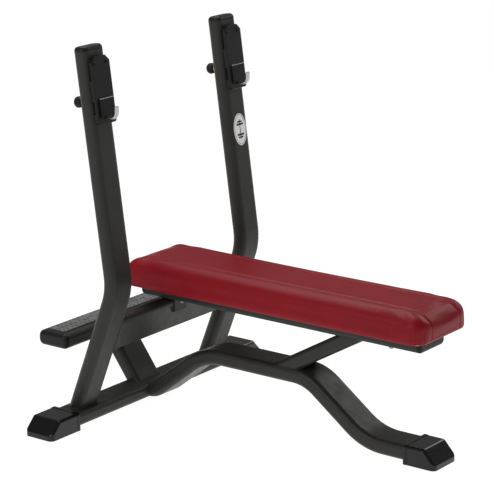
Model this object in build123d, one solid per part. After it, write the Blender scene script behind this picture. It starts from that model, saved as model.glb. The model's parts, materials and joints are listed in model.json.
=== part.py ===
from build123d import *
from math import cos, radians, sin, tan
import os

# Flat bench press stand for a long barbell, in millimetres.
# X runs from the head end to the foot end, Y is across the bench, Z is up.
# The origin is on the floor, at the centre of the footprint's box.
# Left is the +Y side, which is the left hand of someone lying on the pad.

# Overall sizes
LENGTH = 1332.0                 # rear edge of the step to the nose of the front foot
FOOT_SPAN = 1106.0              # across both rear feet
HEIGHT = 1220.0                 # floor to the top of the uprights, at their middle
UPRIGHT_SPACING = 670.0         # between the centre planes of the uprights

# Flat-sided tube of the base
TUBE_WIDTH = 120.0
TUBE_THICK = 50.0
TUBE_CORNER = 16.0
TUBE_WALL = 3.0
FOOT_SOLE = 8.0                 # rubber under the tube, so the tube stays off the floor

# Crossbar, a smaller tube than the spine
CROSSBAR_WIDTH = 102.0
CROSSBAR_THICK = 46.0

# Uprights
UPRIGHT_WIDTH = 100.0
UPRIGHT_THICK = 50.0
UPRIGHT_CORNER = 21.0
LEG_LEAN = 20.96                # degrees, lower part leaning towards the foot end
MAST_LEAN = 8.23                # degrees, upper part leaning towards the head end
KNEE_HEIGHT = 463.0
KNEE_RADIUS = 190.0
LEG_FOOT_OFFSET = 0.0           # leg's centre line ahead of the crossbar's, on its top face
MAST_CAP_HEIGHT = 16.0
MAST_CAP_ROUND = 13.0
PLUG_DEPTH = 18.0               # how far every plastic plug reaches into its tube

# Beam between the legs
BEAM_DROP = 61.0                # rail's underside down to the beam's centre
BEAM_THICK = 46.0               # a little thinner than the legs that it joins

# Spine
SPINE_HEIGHT = 196.0            # centre of its level stretch above the floor
SPINE_STUB = 62.0               # crossbar's centre to the first bend
SPINE_RISE = 38.5               # degrees
SPINE_FALL = 36.5               # degrees
SPINE_TOE = 262.0               # last bend to the nose of the front foot
SPINE_RADII = [70.0, 200.0, 150.0, 200.0]

# Feet
REAR_CAP_LENGTH = 136.0
REAR_CAP_SIDE = 5.0             # rubber beside the crossbar
FRONT_CAP_LENGTH = 112.0
FRONT_CAP_SIDE = 3.5            # rubber beside the spine
CAP_TOP = 4.0                   # rubber over the tube
CAP_SLOPE = 41.0                # length of the sloping nose
CAP_NOSE = 17.0                 # height of the upright part of the nose
CAP_ROUND = 9.0
CAP_CORNER = 16.0
CAP_BAND = 10.0                 # raised band round the open end
CAP_BAND_PROUD = 1.2
CAP_SOLID = 52.0                # solid rubber between the tube's end and the nose

# Step behind the uprights
STEP_LENGTH = 678.0
STEP_TOP = 270.0                # top of the tube above the floor
STEP_REACH = 183.0              # crossbar's centre to the rear edge of the step
STEP_CORNER = 20.0
STEP_CAP = 18.0
STEP_CAP_ROUND = 15.0
POST_FOOT_OFFSET = -28.0        # post's centre line ahead of the crossbar's, on its top face
POST_HEAD_OFFSET = -27.0        # post's centre line ahead of the step's, on its underside
TREAD_LENGTH = 624.0
TREAD_WIDTH = 70.0
TREAD_THICK = 3.0
TREAD_CORNER = 9.0
TREAD_OFFSET = 4.0              # tread's centre behind the tube's

# Rail under the pad
RAIL_WIDTH = 140.0
RAIL_THICK = 47.0
RAIL_CORNER = 17.0
RAIL_TOP = 407.0
RAIL_HEAD = 25.0                # crossbar's centre to the rail's head end
RAIL_FOOT_SETBACK = 54.0        # rail's foot end to the nose of the front foot
RAIL_CAP = 16.0
RAIL_CAP_ROUND = 12.0
SADDLE_LENGTH = 40.0
SADDLE_WIDTH = 60.0

# Brace between spine and rail
BRACE_WIDTH = 108.0
BRACE_THICK = 50.0
BRACE_CORNER = 16.0
BRACE_SETBACK = 104.5           # pad's foot bolts back to the brace's centre line in the rail
BRACE_RISE = 30.0               # degrees

# Pad
PAD_WIDTH = 292.0
PAD_THICK = 92.0
PAD_HEAD = 0.0                  # crossbar's centre to the pad's head end
PAD_FOOT_SETBACK = 8.0          # pad's foot end to the nose of the front foot
PAD_CORNER = 42.0
PAD_ROUND = 34.0
BOARD_THICK = 15.0
BOARD_MARGIN = 16.0             # foam and cover wrapped round the board's edge

# Pad fixings
BOLT_R = 4.0
BOLT_HEAD_R = 6.5
BOLT_HEAD_HEIGHT = 5.0
WASHER_R = 10.0
WASHER_THICK = 1.6
BOLT_HOLE_CLEARANCE = 0.5
BOLT_HEAD_END = 175.0           # pad's head end to the first pair
BOLT_FOOT_END = 165.0           # pad's foot end to the last pair
BOLT_SPREAD = 90.0              # across the rail
NUT_FLANGE_R = 9.0
NUT_FLANGE_THICK = 1.5
NUT_BARREL_R = 5.2
NUT_BARREL_HEIGHT = 9.0

# Bar hook, in the mast's own frame: ahead of its centre line, across, and up it
PIN_DROP = 175.0                # top of the mast down to the pull pin's axis
SLIDE_GAP = 0.5                 # running clearance of everything that slides on the mast
BLOCK_THICK = 9.0
PLATE_THICK = 8.0
PLATE_WIDTH = 86.0
PLATE_ABOVE_PIN = 140.0
PLATE_BELOW_PIN = 68.0
PLATE_CHAMFER = 17.0
PLATE_EDGE = 1.2
PLATE_FOOT_CHAMFER = 6.0
UPPER_BLOCK_HEIGHT = 62.0
LOWER_BLOCK_HEIGHT = 24.0
BLOCK_WIDTH = 82.0
LIFT = 30.0                     # how far the hook lifts before the pin stops it
SLOT_WIDTH = 16.0
KEEPER_WIDTH = 34.0
KEEPER_THICK = 5.0
SPACER_HEIGHT = 26.0
SPACER_WIDTH = 70.0
SCREW_DROP = 22.0               # below the plate's top edge
SCREW_SPREAD = 55.0
SCREW_R = 3.0
SCREW_HEAD_R = 6.0
SCREW_HEAD_HEIGHT = 3.0
SCREW_SOCKET_R = 2.0
SEAT_GAP = 31.0                 # takes the 28 to 29 mm grip of a long bar
HOOK_WIDTH = 16.0
HOOK_THICK = 9.0
HOOK_CORNER = 4.0
HOOK_FLARE = 8.0                # degrees, tip leaning away from the plate
HOOK_TIP_ABOVE_SEAT = 31.0
HOOK_ABOVE_PLATE_FOOT = 12.0
LINER_THICK = 4.0
LINER_WIDTH = 62.0
LINER_HEIGHT = 57.0
LINER_RIBS = 9
LINER_RIB_DEPTH = 1.0
LIP_THICK = 2.0
LIP_PROUD = 2.0                 # beyond the liner's front

# Pull pin, same frame; it is pulled towards the rear
PIN_R = 5.0
PIN_TRAVEL = 18.0
PIN_FIT = 0.05                  # radial running clearance
PIN_TIP_GAP = 0.7               # behind the hook's plate
COLLAR_R = 7.2
COLLAR_THICK = 4.0
COLLAR_AHEAD = 6.0              # collar's front ahead of the mast's centre line
SLEEVE_SHANK_R = 9.0
SLEEVE_FLANGE_R = 14.5
SLEEVE_OUT = 19.0               # flange standing out of the mast's rear face
SLEEVE_END_WALL = 4.0
SLEEVE_AHEAD = 8.0
SPRING_WIRE_R = 0.6
SPRING_TURNS = 8
SPRING_END_GAP = 0.3
KNOB_GAP = 0.3
KNOB_R = 18.0
KNOB_LENGTH = 32.0
KNOB_NECK_R = 11.0
KNOB_ROUND = 7.0
KNOB_BORE_DEPTH = 20.0

# Blank badge on the left mast
BADGE_LENGTH = 106.0
BADGE_WIDTH = 66.0
BADGE_THICK = 0.8
BADGE_BELOW_PIN = 205.0

# Places worked out from the sizes above
CROSSBAR_X = -LENGTH / 2 + STEP_REACH
NOSE_X = LENGTH / 2
CROSSBAR_MID_Z = FOOT_SOLE + CROSSBAR_THICK / 2
CROSSBAR_TOP_Z = FOOT_SOLE + CROSSBAR_THICK
TUBE_MID_Z = FOOT_SOLE + TUBE_THICK / 2
STEP_X = -LENGTH / 2 + TUBE_WIDTH / 2
STEP_MID_Z = STEP_TOP - TUBE_THICK / 2
RAIL_MID_Z = RAIL_TOP - RAIL_THICK / 2
BEAM_Z = RAIL_TOP - RAIL_THICK - BEAM_DROP
PAD_X0 = CROSSBAR_X + PAD_HEAD
PAD_X1 = NOSE_X - PAD_FOOT_SETBACK
SPINE_END_X = NOSE_X - SPINE_TOE
SPINE_LEVEL_END_X = SPINE_END_X - (SPINE_HEIGHT - TUBE_MID_Z) / tan(radians(SPINE_FALL))
SPINE_LEVEL_START_X = CROSSBAR_X + SPINE_STUB + (SPINE_HEIGHT - TUBE_MID_Z) / tan(radians(SPINE_RISE))
MAST_FRONT = UPRIGHT_THICK / 2
PLATE_BACK = MAST_FRONT + BLOCK_THICK
PLATE_FRONT = PLATE_BACK + PLATE_THICK
LINER_FRONT = PLATE_FRONT + LINER_THICK
SEAT_Z = -PLATE_BELOW_PIN + HOOK_ABOVE_PLATE_FOOT + HOOK_THICK
UPPER_BLOCK_Z = PIN_R + SLIDE_GAP
LOWER_BLOCK_TOP_Z = -PIN_R - SLIDE_GAP - LIFT
SIDES = {"left": 1, "right": -1}


def route_x(z):
    """X of the leg's centre line at a height."""
    return CROSSBAR_X + LEG_FOOT_OFFSET + (z - CROSSBAR_TOP_Z) * tan(radians(LEG_LEAN))


def mast_x(z):
    """X of the mast's centre line at a height."""
    return route_x(KNEE_HEIGHT) - (z - KNEE_HEIGHT) * tan(radians(MAST_LEAN))


def mast_frame(z, y):
    """Frame on the mast's centre line: x ahead, y across, z up the mast."""
    lean = radians(MAST_LEAN)
    return Plane(origin=(mast_x(z), y, z), x_dir=(cos(lean), 0, sin(lean)), z_dir=(-sin(lean), 0, cos(lean)))


def pin_frame(side):
    """Mast frame where the pull pin's axis crosses the mast's centre line."""
    height = HEIGHT - PIN_DROP * cos(radians(MAST_LEAN))
    return mast_frame(height, side * UPRIGHT_SPACING / 2)


def block(size_x, size_y, size_z, x0, z0):
    """Box from x0 forwards and z0 upwards, centred across."""
    return Pos(x0, 0, z0) * Box(size_x, size_y, size_z, align=(Align.MIN, Align.CENTER, Align.MIN))


def swept_bar(points, y, width, thick, corner, radii=None, inset=0.0):
    """Solid flat-sided bar along a route in the X-Z plane, broad across Y."""
    route = [(x, y, z) for x, z in points]
    path = FilletPolyline(*route, radius=radii) if radii else Line(*route)
    start = Plane(origin=path @ 0, x_dir=(0, 1, 0), z_dir=path % 0)
    section = start * RectangleRounded(width - 2 * inset, thick - 2 * inset, corner - inset)
    return sweep(section, path=path)


def cross_bar(x, z, length, width, thick, corner, lean=0.0, inset=0.0):
    """Solid flat-sided bar along Y; a lean of 0 lays its broad side level."""
    section = RectangleRounded(width - 2 * inset, thick - 2 * inset, corner - inset)
    across = Plane(origin=(x, -length / 2, z), x_dir=(cos(radians(lean)), 0, sin(radians(lean))), z_dir=(0, 1, 0))
    return extrude(across * section, amount=length)


def tube_from(make, *args, **kwargs):
    """Hollow tube: the outer bar less the same bar set in by the wall."""
    return make(*args, **kwargs) - make(*args, inset=TUBE_WALL, **kwargs)


# Crossbar, spine and legs

CROSSBAR = (CROSSBAR_X, CROSSBAR_MID_Z, FOOT_SPAN - 2 * CAP_SOLID, CROSSBAR_WIDTH, CROSSBAR_THICK, TUBE_CORNER)
STEP = (STEP_X, STEP_MID_Z, STEP_LENGTH - 2 * STEP_CAP, TUBE_WIDTH, TUBE_THICK, STEP_CORNER)
BEAM = (route_x(BEAM_Z), BEAM_Z, UPRIGHT_SPACING, TUBE_WIDTH, BEAM_THICK, TUBE_CORNER)
BEAM_LEAN = 90.0 - LEG_LEAN

SPINE_ROUTE = [
    (CROSSBAR_X + CROSSBAR_WIDTH / 2 - TUBE_CORNER, TUBE_MID_Z),
    (CROSSBAR_X + SPINE_STUB, TUBE_MID_Z),
    (SPINE_LEVEL_START_X, SPINE_HEIGHT),
    (SPINE_LEVEL_END_X, SPINE_HEIGHT),
    (SPINE_END_X, TUBE_MID_Z),
    (NOSE_X - CAP_SOLID, TUBE_MID_Z),
]
SPINE = (SPINE_ROUTE, 0.0, TUBE_WIDTH, TUBE_THICK, TUBE_CORNER, SPINE_RADII)

MAST_TUBE_TOP = HEIGHT - MAST_CAP_HEIGHT * cos(radians(MAST_LEAN))
UPRIGHT_ROUTE = [
    (route_x(CROSSBAR_MID_Z), CROSSBAR_MID_Z),
    (route_x(KNEE_HEIGHT), KNEE_HEIGHT),
    (mast_x(MAST_TUBE_TOP), MAST_TUBE_TOP),
]

RAIL_ROUTE = [
    (CROSSBAR_X + RAIL_HEAD + RAIL_CAP, RAIL_MID_Z),
    (NOSE_X - RAIL_FOOT_SETBACK - RAIL_CAP, RAIL_MID_Z),
]
RAIL = (RAIL_ROUTE, 0.0, RAIL_WIDTH, RAIL_THICK, RAIL_CORNER)


def upright_args(side):
    y = side * UPRIGHT_SPACING / 2
    return (UPRIGHT_ROUTE, y, UPRIGHT_WIDTH, UPRIGHT_THICK, UPRIGHT_CORNER, [KNEE_RADIUS])


def rear_crossbar():
    return tube_from(cross_bar, *CROSSBAR)


def spine_tube():
    return tube_from(swept_bar, *SPINE) - cross_bar(*CROSSBAR)


def upright(side):
    """Bent upright, coped onto the crossbar, slotted for the hook and drilled for the pin."""
    tube = tube_from(swept_bar, *upright_args(side)) - cross_bar(*CROSSBAR)
    slot_z0 = LOWER_BLOCK_TOP_Z - LOWER_BLOCK_HEIGHT - SLIDE_GAP
    slot_z1 = UPPER_BLOCK_Z + UPPER_BLOCK_HEIGHT + LIFT + SLIDE_GAP
    wall_cut = 2 * TUBE_WALL
    slot = block(wall_cut, SLOT_WIDTH, slot_z1 - slot_z0, MAST_FRONT - wall_cut, slot_z0)
    hole = Pos(-MAST_FRONT, 0, 0) * Rot(0, 90, 0) * Cylinder(SLEEVE_SHANK_R, 2 * wall_cut)
    return tube - pin_frame(side) * (slot + hole)


def mast_cap(side):
    """Domed plug in the top of an upright."""
    frame = mast_frame(MAST_TUBE_TOP, side * UPRIGHT_SPACING / 2)
    dome = extrude(Rot(0, 0, 90) * RectangleRounded(UPRIGHT_WIDTH, UPRIGHT_THICK, UPRIGHT_CORNER), MAST_CAP_HEIGHT)
    dome = fillet(dome.faces().sort_by(Axis.Z)[-1].edges(), MAST_CAP_ROUND)
    return frame * (dome + plug(UPRIGHT_WIDTH, UPRIGHT_THICK, UPRIGHT_CORNER))


def plug(width, thick, corner):
    """Hollow shell of a tube plug, reaching down from z = 0 into the tube."""
    outer = RectangleRounded(width - 2 * TUBE_WALL, thick - 2 * TUBE_WALL, corner - TUBE_WALL)
    inner = RectangleRounded(width - 4 * TUBE_WALL, thick - 4 * TUBE_WALL, corner - 2 * TUBE_WALL)
    return extrude(Rot(0, 0, 90) * (outer - inner), -PLUG_DEPTH)


def upright_beam():
    """Flat beam between the legs, in their plane, coped onto both."""
    beam = tube_from(cross_bar, *BEAM, lean=BEAM_LEAN)
    for side in SIDES.values():
        beam = beam - swept_bar(*upright_args(side))
    return beam


# Feet

def foot_cap(length, tube_width, tube_thick, side_wall):
    """Rubber foot pushed over a tube's end; nose at x = 0 towards +x, standing on z = 0."""
    width = tube_width + 2 * side_wall
    height = FOOT_SOLE + tube_thick + CAP_TOP
    outline = Polyline((-length, 0), (0, 0), (0, CAP_NOSE), (-CAP_SLOPE, height), (-length, height), close=True)
    side_face = make_face(Plane.XZ * outline)
    body = extrude(side_face, amount=width / 2, both=True)
    uprights = body.edges().filter_by(Axis.Z).group_by(Axis.X)[-1]
    body = fillet(uprights, CAP_CORNER)
    noses = body.faces().filter_by(lambda face: face.normal_at().Z > 0.2).edges()
    body = fillet([edge for edge in noses if edge.center().X > -length + CAP_CORNER], CAP_ROUND)
    band = Pos(-length, 0, 0) * Box(
        CAP_BAND, width + 2 * CAP_BAND_PROUD, height + CAP_BAND_PROUD, align=(Align.MIN, Align.CENTER, Align.MIN)
    )
    band = fillet(band.edges().filter_by(Axis.X).group_by(Axis.Z)[-1], CAP_ROUND)
    tube_end = block(length, tube_width, tube_thick, -length - CAP_SOLID, FOOT_SOLE)
    tube_end = fillet(tube_end.edges().filter_by(Axis.X), TUBE_CORNER)
    return body + band - tube_end


def rear_foot_cap(side):
    cap = foot_cap(REAR_CAP_LENGTH, CROSSBAR_WIDTH, CROSSBAR_THICK, REAR_CAP_SIDE)
    return Pos(CROSSBAR_X, side * FOOT_SPAN / 2, 0) * Rot(0, 0, side * 90) * cap


def front_foot_cap():
    return Pos(NOSE_X, 0, 0) * foot_cap(FRONT_CAP_LENGTH, TUBE_WIDTH, TUBE_THICK, FRONT_CAP_SIDE)


# Step

def step_tube():
    return tube_from(cross_bar, *STEP)


def step_post():
    """Flat post leaning back from the crossbar to the step, coped onto its neighbours."""
    foot = (CROSSBAR_X + POST_FOOT_OFFSET, CROSSBAR_TOP_Z)
    head = (STEP_X + POST_HEAD_OFFSET, STEP_TOP - TUBE_THICK)
    slope = (head[0] - foot[0]) / (head[1] - foot[1])
    low = (foot[0] - slope * CROSSBAR_THICK / 2, CROSSBAR_MID_Z)
    high = (head[0] + slope * TUBE_THICK / 2, STEP_MID_Z)
    post = tube_from(swept_bar, [low, high], 0.0, TUBE_WIDTH, TUBE_THICK, TUBE_CORNER)
    return post - cross_bar(*CROSSBAR) - cross_bar(*STEP) - swept_bar(*SPINE)


def step_cap(side):
    """Rounded plug in one end of the step's tube."""
    end = extrude(Rot(0, 0, 90) * RectangleRounded(TUBE_WIDTH, TUBE_THICK, STEP_CORNER), STEP_CAP)
    end = fillet(end.faces().sort_by(Axis.Z)[-1].edges(), STEP_CAP_ROUND)
    end = end + plug(TUBE_WIDTH, TUBE_THICK, STEP_CORNER)
    frame = Plane(
        origin=(STEP_X, side * (STEP_LENGTH / 2 - STEP_CAP), STEP_MID_Z), x_dir=(0, 0, 1), z_dir=(0, side, 0)
    )
    return frame * end


def step_tread():
    """Thin tread plate on the step, with cut corners."""
    plate = Box(TREAD_WIDTH, TREAD_LENGTH, TREAD_THICK, align=(Align.CENTER, Align.CENTER, Align.MIN))
    plate = chamfer(plate.edges().filter_by(Axis.Z), TREAD_CORNER)
    return Pos(STEP_X - TREAD_OFFSET, 0, STEP_TOP) * plate


# Rail, saddle and brace

def bolt_places():
    """Centres of the four pad bolts."""
    return [
        (x, y)
        for x in (PAD_X0 + BOLT_HEAD_END, PAD_X1 - BOLT_FOOT_END)
        for y in (-BOLT_SPREAD / 2, BOLT_SPREAD / 2)
    ]


def rods(radius, z0, z1):
    """One upright rod at each bolt place."""
    rod = Cylinder(radius, z1 - z0, align=(Align.CENTER, Align.CENTER, Align.MIN))
    return [Pos(x, y, z0) * rod for x, y in bolt_places()]


def cut(body, tools):
    """Body less each tool in turn."""
    for tool in tools:
        body = body - tool
    return body


def pad_rail():
    rail = tube_from(swept_bar, *RAIL)
    return cut(rail, rods(BOLT_R + BOLT_HOLE_CLEARANCE, RAIL_TOP - 2 * RAIL_THICK, RAIL_TOP + RAIL_THICK))


def rail_cap(x, direction):
    """Rounded plug in one end of the rail."""
    end = extrude(Rot(0, 0, 90) * RectangleRounded(RAIL_WIDTH, RAIL_THICK, RAIL_CORNER), RAIL_CAP)
    end = fillet(end.faces().sort_by(Axis.Z)[-1].edges(), RAIL_CAP_ROUND)
    end = end + plug(RAIL_WIDTH, RAIL_THICK, RAIL_CORNER)
    frame = Plane(origin=(x, 0, RAIL_MID_Z), x_dir=(0, 0, 1), z_dir=(direction, 0, 0))
    return frame * end


def rail_saddle():
    """Packing piece welded between the beam's top edge and the rail."""
    x = route_x(BEAM_Z) + TUBE_WIDTH / 2 * sin(radians(LEG_LEAN))
    gusset = Pos(x, 0, RAIL_TOP - RAIL_THICK) * Box(
        SADDLE_LENGTH, SADDLE_WIDTH, TUBE_THICK, align=(Align.CENTER, Align.CENTER, Align.MAX)
    )
    return gusset - cross_bar(*BEAM, lean=BEAM_LEAN)


def front_brace():
    """Narrow brace rising from the spine to the underside of the rail, coped onto both."""
    head_x = PAD_X1 - BOLT_FOOT_END - BRACE_SETBACK
    foot_x = head_x - (RAIL_MID_Z - SPINE_HEIGHT) / tan(radians(BRACE_RISE))
    route = [(foot_x, SPINE_HEIGHT), (head_x, RAIL_MID_Z)]
    brace = tube_from(swept_bar, route, 0.0, BRACE_WIDTH, BRACE_THICK, BRACE_CORNER)
    return brace - swept_bar(*SPINE) - swept_bar(*RAIL)


# Pad

def pad_outline(margin):
    """Plan outline of the pad, set in by a margin."""
    length = PAD_X1 - PAD_X0 - 2 * margin
    return Pos((PAD_X0 + PAD_X1) / 2, 0, RAIL_TOP) * RectangleRounded(
        length, PAD_WIDTH - 2 * margin, PAD_CORNER - margin
    )


def pad_board():
    """Plywood board let into the underside of the pad, drilled for the tee nuts."""
    board = extrude(pad_outline(BOARD_MARGIN), BOARD_THICK)
    board = cut(board, rods(NUT_BARREL_R, RAIL_TOP - BOARD_THICK, RAIL_TOP + 2 * BOARD_THICK))
    return cut(board, rods(NUT_FLANGE_R, RAIL_TOP + BOARD_THICK - NUT_FLANGE_THICK, RAIL_TOP + 2 * BOARD_THICK))


def pad_cushion():
    """Foam and cover as one closed solid, fitted round the board."""
    cushion = extrude(pad_outline(0.0), PAD_THICK)
    cushion = fillet(cushion.faces().sort_by(Axis.Z)[-1].edges(), PAD_ROUND)
    return cushion - extrude(pad_outline(BOARD_MARGIN), BOARD_THICK)


def pad_bolts():
    """Four bolts up through the rail into the board."""
    head_top = RAIL_TOP - RAIL_THICK - WASHER_THICK
    shanks = rods(BOLT_R, head_top, RAIL_TOP + BOARD_THICK - NUT_FLANGE_THICK)
    heads = rods(BOLT_HEAD_R, head_top - BOLT_HEAD_HEIGHT, head_top)
    return Compound([shank + head for shank, head in zip(shanks, heads)])


def pad_washers():
    top = RAIL_TOP - RAIL_THICK
    discs = rods(WASHER_R, top - WASHER_THICK, top)
    bores = rods(BOLT_R + BOLT_HOLE_CLEARANCE, top - 2 * WASHER_THICK, top + WASHER_THICK)
    return Compound([disc - bore for disc, bore in zip(discs, bores)])


def pad_tee_nuts():
    """Flanged nuts pressed into the board from above."""
    top = RAIL_TOP + BOARD_THICK
    flanges = rods(NUT_FLANGE_R, top - NUT_FLANGE_THICK, top)
    barrels = rods(NUT_BARREL_R, top - NUT_BARREL_HEIGHT, top)
    bores = rods(BOLT_R, RAIL_TOP, top - NUT_FLANGE_THICK)
    return Compound([flange + barrel - bore for flange, barrel, bore in zip(flanges, barrels, bores)])


# Hook carriage

def hook_plate(side):
    """Face plate of the hook, with cut corners and two screw holes."""
    height = PLATE_ABOVE_PIN + PLATE_BELOW_PIN
    plate = block(PLATE_THICK, PLATE_WIDTH, height, PLATE_BACK, -PLATE_BELOW_PIN)
    corners = plate.edges().filter_by(Axis.X).group_by(Axis.Z)
    plate = chamfer(corners[-1], PLATE_CHAMFER)
    feet = plate.edges().filter_by(Axis.X).group_by(Axis.Z)[0]
    plate = chamfer(feet, PLATE_FOOT_CHAMFER)
    plate = chamfer(plate.faces().sort_by(Axis.X)[-1].edges(), PLATE_EDGE)
    return pin_frame(side) * cut(plate, screw_rods(SCREW_R, PLATE_BACK, PLATE_FRONT))


def screw_rods(radius, x0, x1):
    """One rod at each plate screw, from x0 to x1."""
    rod = Rot(0, 90, 0) * Cylinder(radius, x1 - x0, align=(Align.CENTER, Align.CENTER, Align.MIN))
    z = PLATE_ABOVE_PIN - SCREW_DROP
    return [Pos(x0, y, z) * rod for y in (-SCREW_SPREAD / 2, SCREW_SPREAD / 2)]


def hook_screws(side):
    """Two button screws with drive sockets."""
    tip = MAST_FRONT + SLIDE_GAP
    shanks = screw_rods(SCREW_R, tip, PLATE_FRONT)
    heads = screw_rods(SCREW_HEAD_R, PLATE_FRONT, PLATE_FRONT + SCREW_HEAD_HEIGHT)
    heads = [fillet(head.edges().sort_by(Axis.X)[-1], SCREW_HEAD_HEIGHT / 2) for head in heads]
    sockets = screw_rods(SCREW_SOCKET_R, PLATE_FRONT + SCREW_HEAD_HEIGHT / 3, PLATE_FRONT + 2 * SCREW_HEAD_HEIGHT)
    screws = [shank + head - socket for shank, head, socket in zip(shanks, heads, sockets)]
    return pin_frame(side) * Compound(screws)


def hook_spacer(side):
    """Spacer behind the top of the plate, running on the mast's face."""
    z0 = PLATE_ABOVE_PIN - SCREW_DROP - SPACER_HEIGHT / 2
    spacer = block(BLOCK_THICK - SLIDE_GAP, SPACER_WIDTH, SPACER_HEIGHT, MAST_FRONT + SLIDE_GAP, z0)
    return pin_frame(side) * cut(spacer, screw_rods(SCREW_R, MAST_FRONT, PLATE_BACK))


def slide_block(side, z0, height):
    """Block behind the plate, with a neck through the slot and a keeper inside the mast."""
    body = block(BLOCK_THICK - SLIDE_GAP, BLOCK_WIDTH, height, MAST_FRONT + SLIDE_GAP, z0)
    keeper_x = MAST_FRONT - TUBE_WALL - SLIDE_GAP - KEEPER_THICK
    neck = block(MAST_FRONT + SLIDE_GAP - keeper_x, SLOT_WIDTH - 2 * SLIDE_GAP, height, keeper_x, z0)
    keeper = block(KEEPER_THICK, KEEPER_WIDTH, height, keeper_x, z0)
    return pin_frame(side) * (body + neck + keeper)


def hook_block_upper(side):
    return slide_block(side, UPPER_BLOCK_Z, UPPER_BLOCK_HEIGHT)


def hook_block_lower(side):
    return slide_block(side, LOWER_BLOCK_TOP_Z - LOWER_BLOCK_HEIGHT, LOWER_BLOCK_HEIGHT)


def j_hook(side):
    """Flat bar bent into a J that carries the barbell."""
    cup_r = SEAT_GAP / 2
    mid_r = cup_r + HOOK_THICK / 2
    cup_x = LINER_FRONT + cup_r
    cup_z = SEAT_Z + cup_r
    root = Line((PLATE_FRONT, 0, cup_z - mid_r), (cup_x, 0, cup_z - mid_r))
    bend_plane = Plane(origin=(cup_x, 0, cup_z), x_dir=(1, 0, 0), z_dir=(0, -1, 0))
    bend = bend_plane * CenterArc((0, 0), mid_r, -90, 90 - HOOK_FLARE)
    heading = bend % 1
    tip_run = (SEAT_Z + HOOK_TIP_ABOVE_SEAT - (bend @ 1).Z) / heading.Z
    tip = Line(bend @ 1, bend @ 1 + heading * tip_run)
    path = Wire([*root.edges(), *bend.edges(), *tip.edges()])
    section = Plane(origin=path @ 0, x_dir=(0, 1, 0), z_dir=path % 0) * RectangleRounded(
        HOOK_WIDTH, HOOK_THICK, HOOK_CORNER
    )
    hook = sweep(section, path=path)
    hook = fillet(hook.faces().sort_by(Axis.Z)[-1].edges(), HOOK_CORNER / 2)
    return pin_frame(side) * hook


def hook_liner(side):
    """Ribbed plastic liner between the bar and the plate."""
    liner = block(LINER_THICK, LINER_WIDTH, LINER_HEIGHT, PLATE_FRONT, SEAT_Z)
    pitch = LINER_HEIGHT / (LINER_RIBS + 1)
    groove = block(LINER_RIB_DEPTH, LINER_WIDTH, pitch / 3, LINER_FRONT - LINER_RIB_DEPTH, 0)
    grooves = [Pos(0, 0, SEAT_Z + pitch * (rib + 1)) * groove for rib in range(LINER_RIBS)]
    return pin_frame(side) * cut(liner, grooves)


def hook_lip(side):
    """Thin bright strip over the liner's top edge."""
    lip = block(LINER_THICK + LIP_PROUD, LINER_WIDTH, LIP_THICK, PLATE_FRONT, SEAT_Z + LINER_HEIGHT)
    return pin_frame(side) * lip


# Pull pin

def turned(profile):
    """Solid turned about the pin's axis; the profile gives (x ahead, radius) points."""
    face = make_face(Plane.XZ * Polyline(*profile, close=True))
    return revolve(face, Axis.X)


def pin_plunger(side):
    """Plunger with the collar that the spring pushes on."""
    tip = PLATE_BACK - PIN_TIP_GAP
    collar_rear = COLLAR_AHEAD - COLLAR_THICK
    rear = -MAST_FRONT - SLEEVE_OUT - KNOB_GAP - KNOB_BORE_DEPTH
    plunger = turned([
        (rear, 0),
        (rear, PIN_R),
        (collar_rear, PIN_R),
        (collar_rear, COLLAR_R),
        (COLLAR_AHEAD, COLLAR_R),
        (COLLAR_AHEAD, PIN_R),
        (tip, PIN_R),
        (tip, 0),
    ])
    plunger = chamfer(plunger.edges().sort_by(Axis.X)[-1], PIN_R / 5)
    return pin_frame(side) * plunger


def pin_sleeve(side):
    """Brass sleeve fixed in the mast's rear wall, bored for plunger, collar and spring."""
    end = -MAST_FRONT - SLEEVE_OUT
    wall_front = end + SLEEVE_END_WALL
    sleeve = turned([
        (end, PIN_R + PIN_FIT),
        (end, SLEEVE_FLANGE_R),
        (-MAST_FRONT, SLEEVE_FLANGE_R),
        (-MAST_FRONT, SLEEVE_SHANK_R),
        (SLEEVE_AHEAD, SLEEVE_SHANK_R),
        (SLEEVE_AHEAD, COLLAR_R + PIN_FIT),
        (wall_front, COLLAR_R + PIN_FIT),
        (wall_front, PIN_R + PIN_FIT),
    ])
    return pin_frame(side) * sleeve


def pin_spring(side):
    """Coil spring between the sleeve's end wall and the collar."""
    rear = -MAST_FRONT - SLEEVE_OUT + SLEEVE_END_WALL + SPRING_END_GAP + SPRING_WIRE_R
    front = COLLAR_AHEAD - COLLAR_THICK - SPRING_END_GAP - SPRING_WIRE_R
    coil_r = (PIN_R + COLLAR_R) / 2
    length = front - rear
    coil = Helix(pitch=length / SPRING_TURNS, height=length, radius=coil_r)
    wire = sweep(Plane(origin=coil @ 0, z_dir=coil % 0) * Circle(SPRING_WIRE_R), path=coil, is_frenet=True)
    return pin_frame(side) * Pos(rear, 0, 0) * Rot(0, 90, 0) * wire


def pin_knob(side):
    """Round pull knob fixed on the plunger's end."""
    front = -MAST_FRONT - SLEEVE_OUT - KNOB_GAP
    rear = front - KNOB_LENGTH
    knob = turned([
        (rear, 0),
        (rear, KNOB_R),
        (front - KNOB_LENGTH / 4, KNOB_R),
        (front, KNOB_NECK_R),
        (front, PIN_R),
        (front - KNOB_BORE_DEPTH, PIN_R),
        (front - KNOB_BORE_DEPTH, 0),
    ])
    outer = knob.edges().filter_by(GeomType.CIRCLE).filter_by(lambda edge: edge.radius > KNOB_R - 1)
    return pin_frame(side) * fillet(outer, KNOB_ROUND)


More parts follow.
